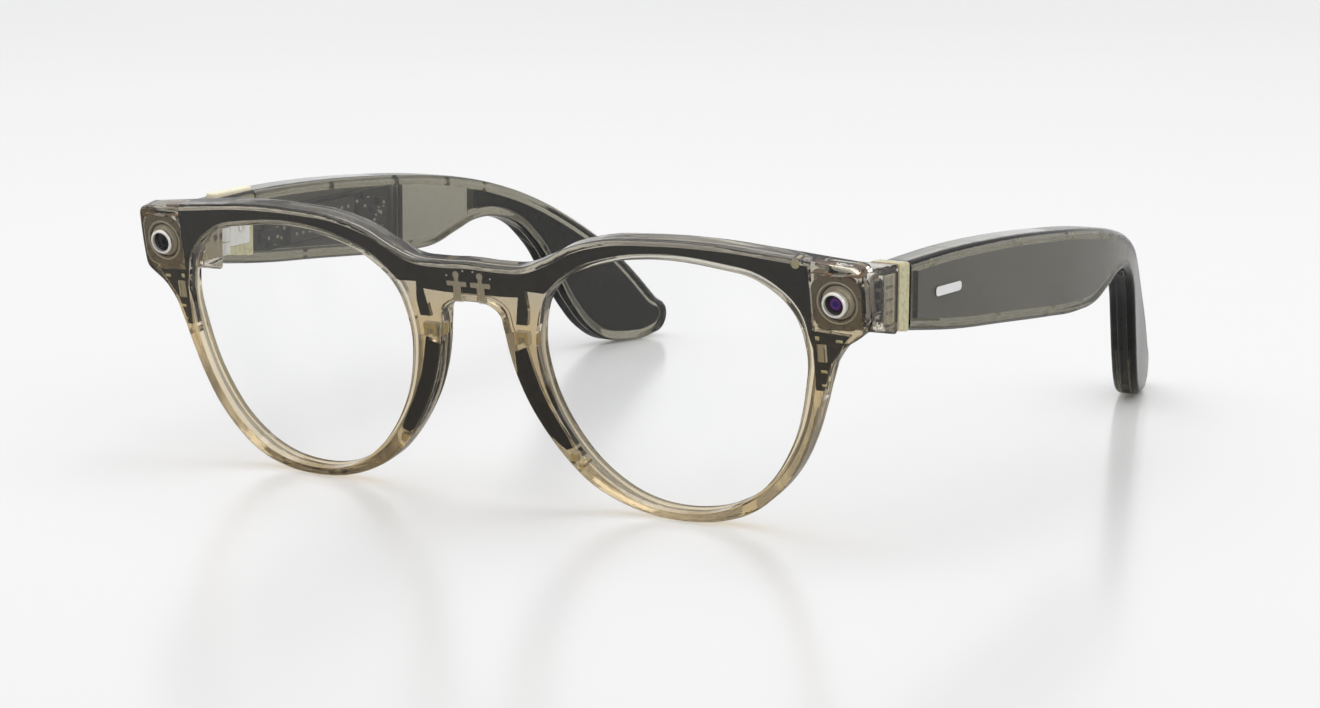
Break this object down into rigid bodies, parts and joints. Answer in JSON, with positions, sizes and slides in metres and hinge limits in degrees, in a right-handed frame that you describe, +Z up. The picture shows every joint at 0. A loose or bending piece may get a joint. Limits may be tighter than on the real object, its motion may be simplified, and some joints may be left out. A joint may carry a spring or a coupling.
{
  "type": "smart glasses",
  "caption": "Transparent smart glasses: two-layer front with lenses, camera and capture light in the end pieces, and folding hollow temples holding electronics.",
  "frame": {"origin": "middle of the footprint, on the surface that the open glasses stand on", "axes": "+Z up, -Y is the way the front faces, +X is the wearer's left"},
  "size_m": [0.1484, 0.1674, 0.0493],
  "materials": {
    "clear_olive": "polished transparent resin",
    "clear_grey": "polished transparent resin",
    "lens_clear": "polished, clear",
    "charcoal": "gloss",
    "graphite_core": "satin",
    "flex_copper": "satin film",
    "brass": "polished",
    "steel": "polished",
    "ring_silver": "polished",
    "housing_taupe": "satin",
    "dark_glass": "polished, coated",
    "champagne": "satin translucent",
    "core_grey": "satin translucent",
    "panel_grey": "satin",
    "window_grey": "satin",
    "board_dark": "satin",
    "cream": "satin",
    "contact_black": "satin",
    "battery_silver": "foil",
    "speaker_black": "satin",
    "inlay_silver": "polished"
  },
  "bodies": {
    "front": {"front_cover": "clear_olive", "rear_cover": "clear_olive", "brow_carrier": "charcoal", "main_flex": "flex_copper", "nose_fittings": "brass", "light_guide": "cream", "frame_screws": "steel", "camera_housing": "housing_taupe", "camera_barrel": "ring_silver", "camera_glass": "dark_glass", "camera_board": "board_dark", "light_housing": "housing_taupe", "light_ring": "ring_silver", "light_window": "dark_glass", "light_board": "board_dark", "lens_left": "lens_clear", "lens_right": "lens_clear", "nose_core_left": "graphite_core", "nose_core_right": "graphite_core", "charging_contact_left": "steel", "charging_contact_right": "steel", "aerial_clip_left": "steel", "aerial_clip_right": "steel", "hinge_core_left": "core_grey", "hinge_core_right": "core_grey", "end_cap_left": "champagne", "end_cap_right": "champagne", "contact_strip_left": "contact_black", "contact_strip_right": "contact_black", "front_hinge_leaf_left": "steel", "front_hinge_leaf_right": "steel", "hinge_pin_left": "steel", "hinge_pin_right": "steel"},
    "left_temple": {"temple_shell_left": "clear_grey", "temple_cover_left": "clear_grey", "battery_cell": "battery_silver", "power_board": "board_dark", "temple_hinge_leaf_left": "steel", "hinge_cover_left": "champagne", "temple_panel_left": "panel_grey", "acoustic_window_left": "window_grey", "speaker_left": "speaker_black", "tip_core_left": "graphite_core", "temple_inlay_left": "inlay_silver"},
    "right_temple": {"temple_shell_right": "clear_grey", "temple_cover_right": "clear_grey", "main_board": "board_dark", "shield_can": "battery_silver", "tact_switch": "steel", "temple_hinge_leaf_right": "steel", "hinge_cover_right": "champagne", "temple_panel_right": "panel_grey", "acoustic_window_right": "window_grey", "speaker_right": "speaker_black", "tip_core_right": "graphite_core", "temple_inlay_right": "inlay_silver"},
    "capture_button": {"capture_button": "cream"},
    "power_switch": {"power_switch": "contact_black"}
  },
  "joints": [
    {"name": "left_fold", "type": "hinge", "parent": "front", "child": "left_temple", "pos_m": [0.065, -0.06198, 0.0394], "axis": [0, 0, 1], "range_deg": [0, 90]},
    {"name": "right_fold", "type": "hinge", "parent": "front", "child": "right_temple", "pos_m": [-0.065, -0.06198, 0.0394], "axis": [0, 0, 1], "range_deg": [-82, 0]},
    {"name": "capture_press", "type": "slide", "parent": "right_temple", "child": "capture_button", "axis": [0, 0, -1], "range_m": [0, 0.0004], "stiffness_N_per_m": 600, "springref_m": -0.0004},
    {"name": "power_slide", "type": "slide", "parent": "left_temple", "child": "power_switch", "axis": [0, 1, 0], "range_m": [0, 0.002]}
  ]
}
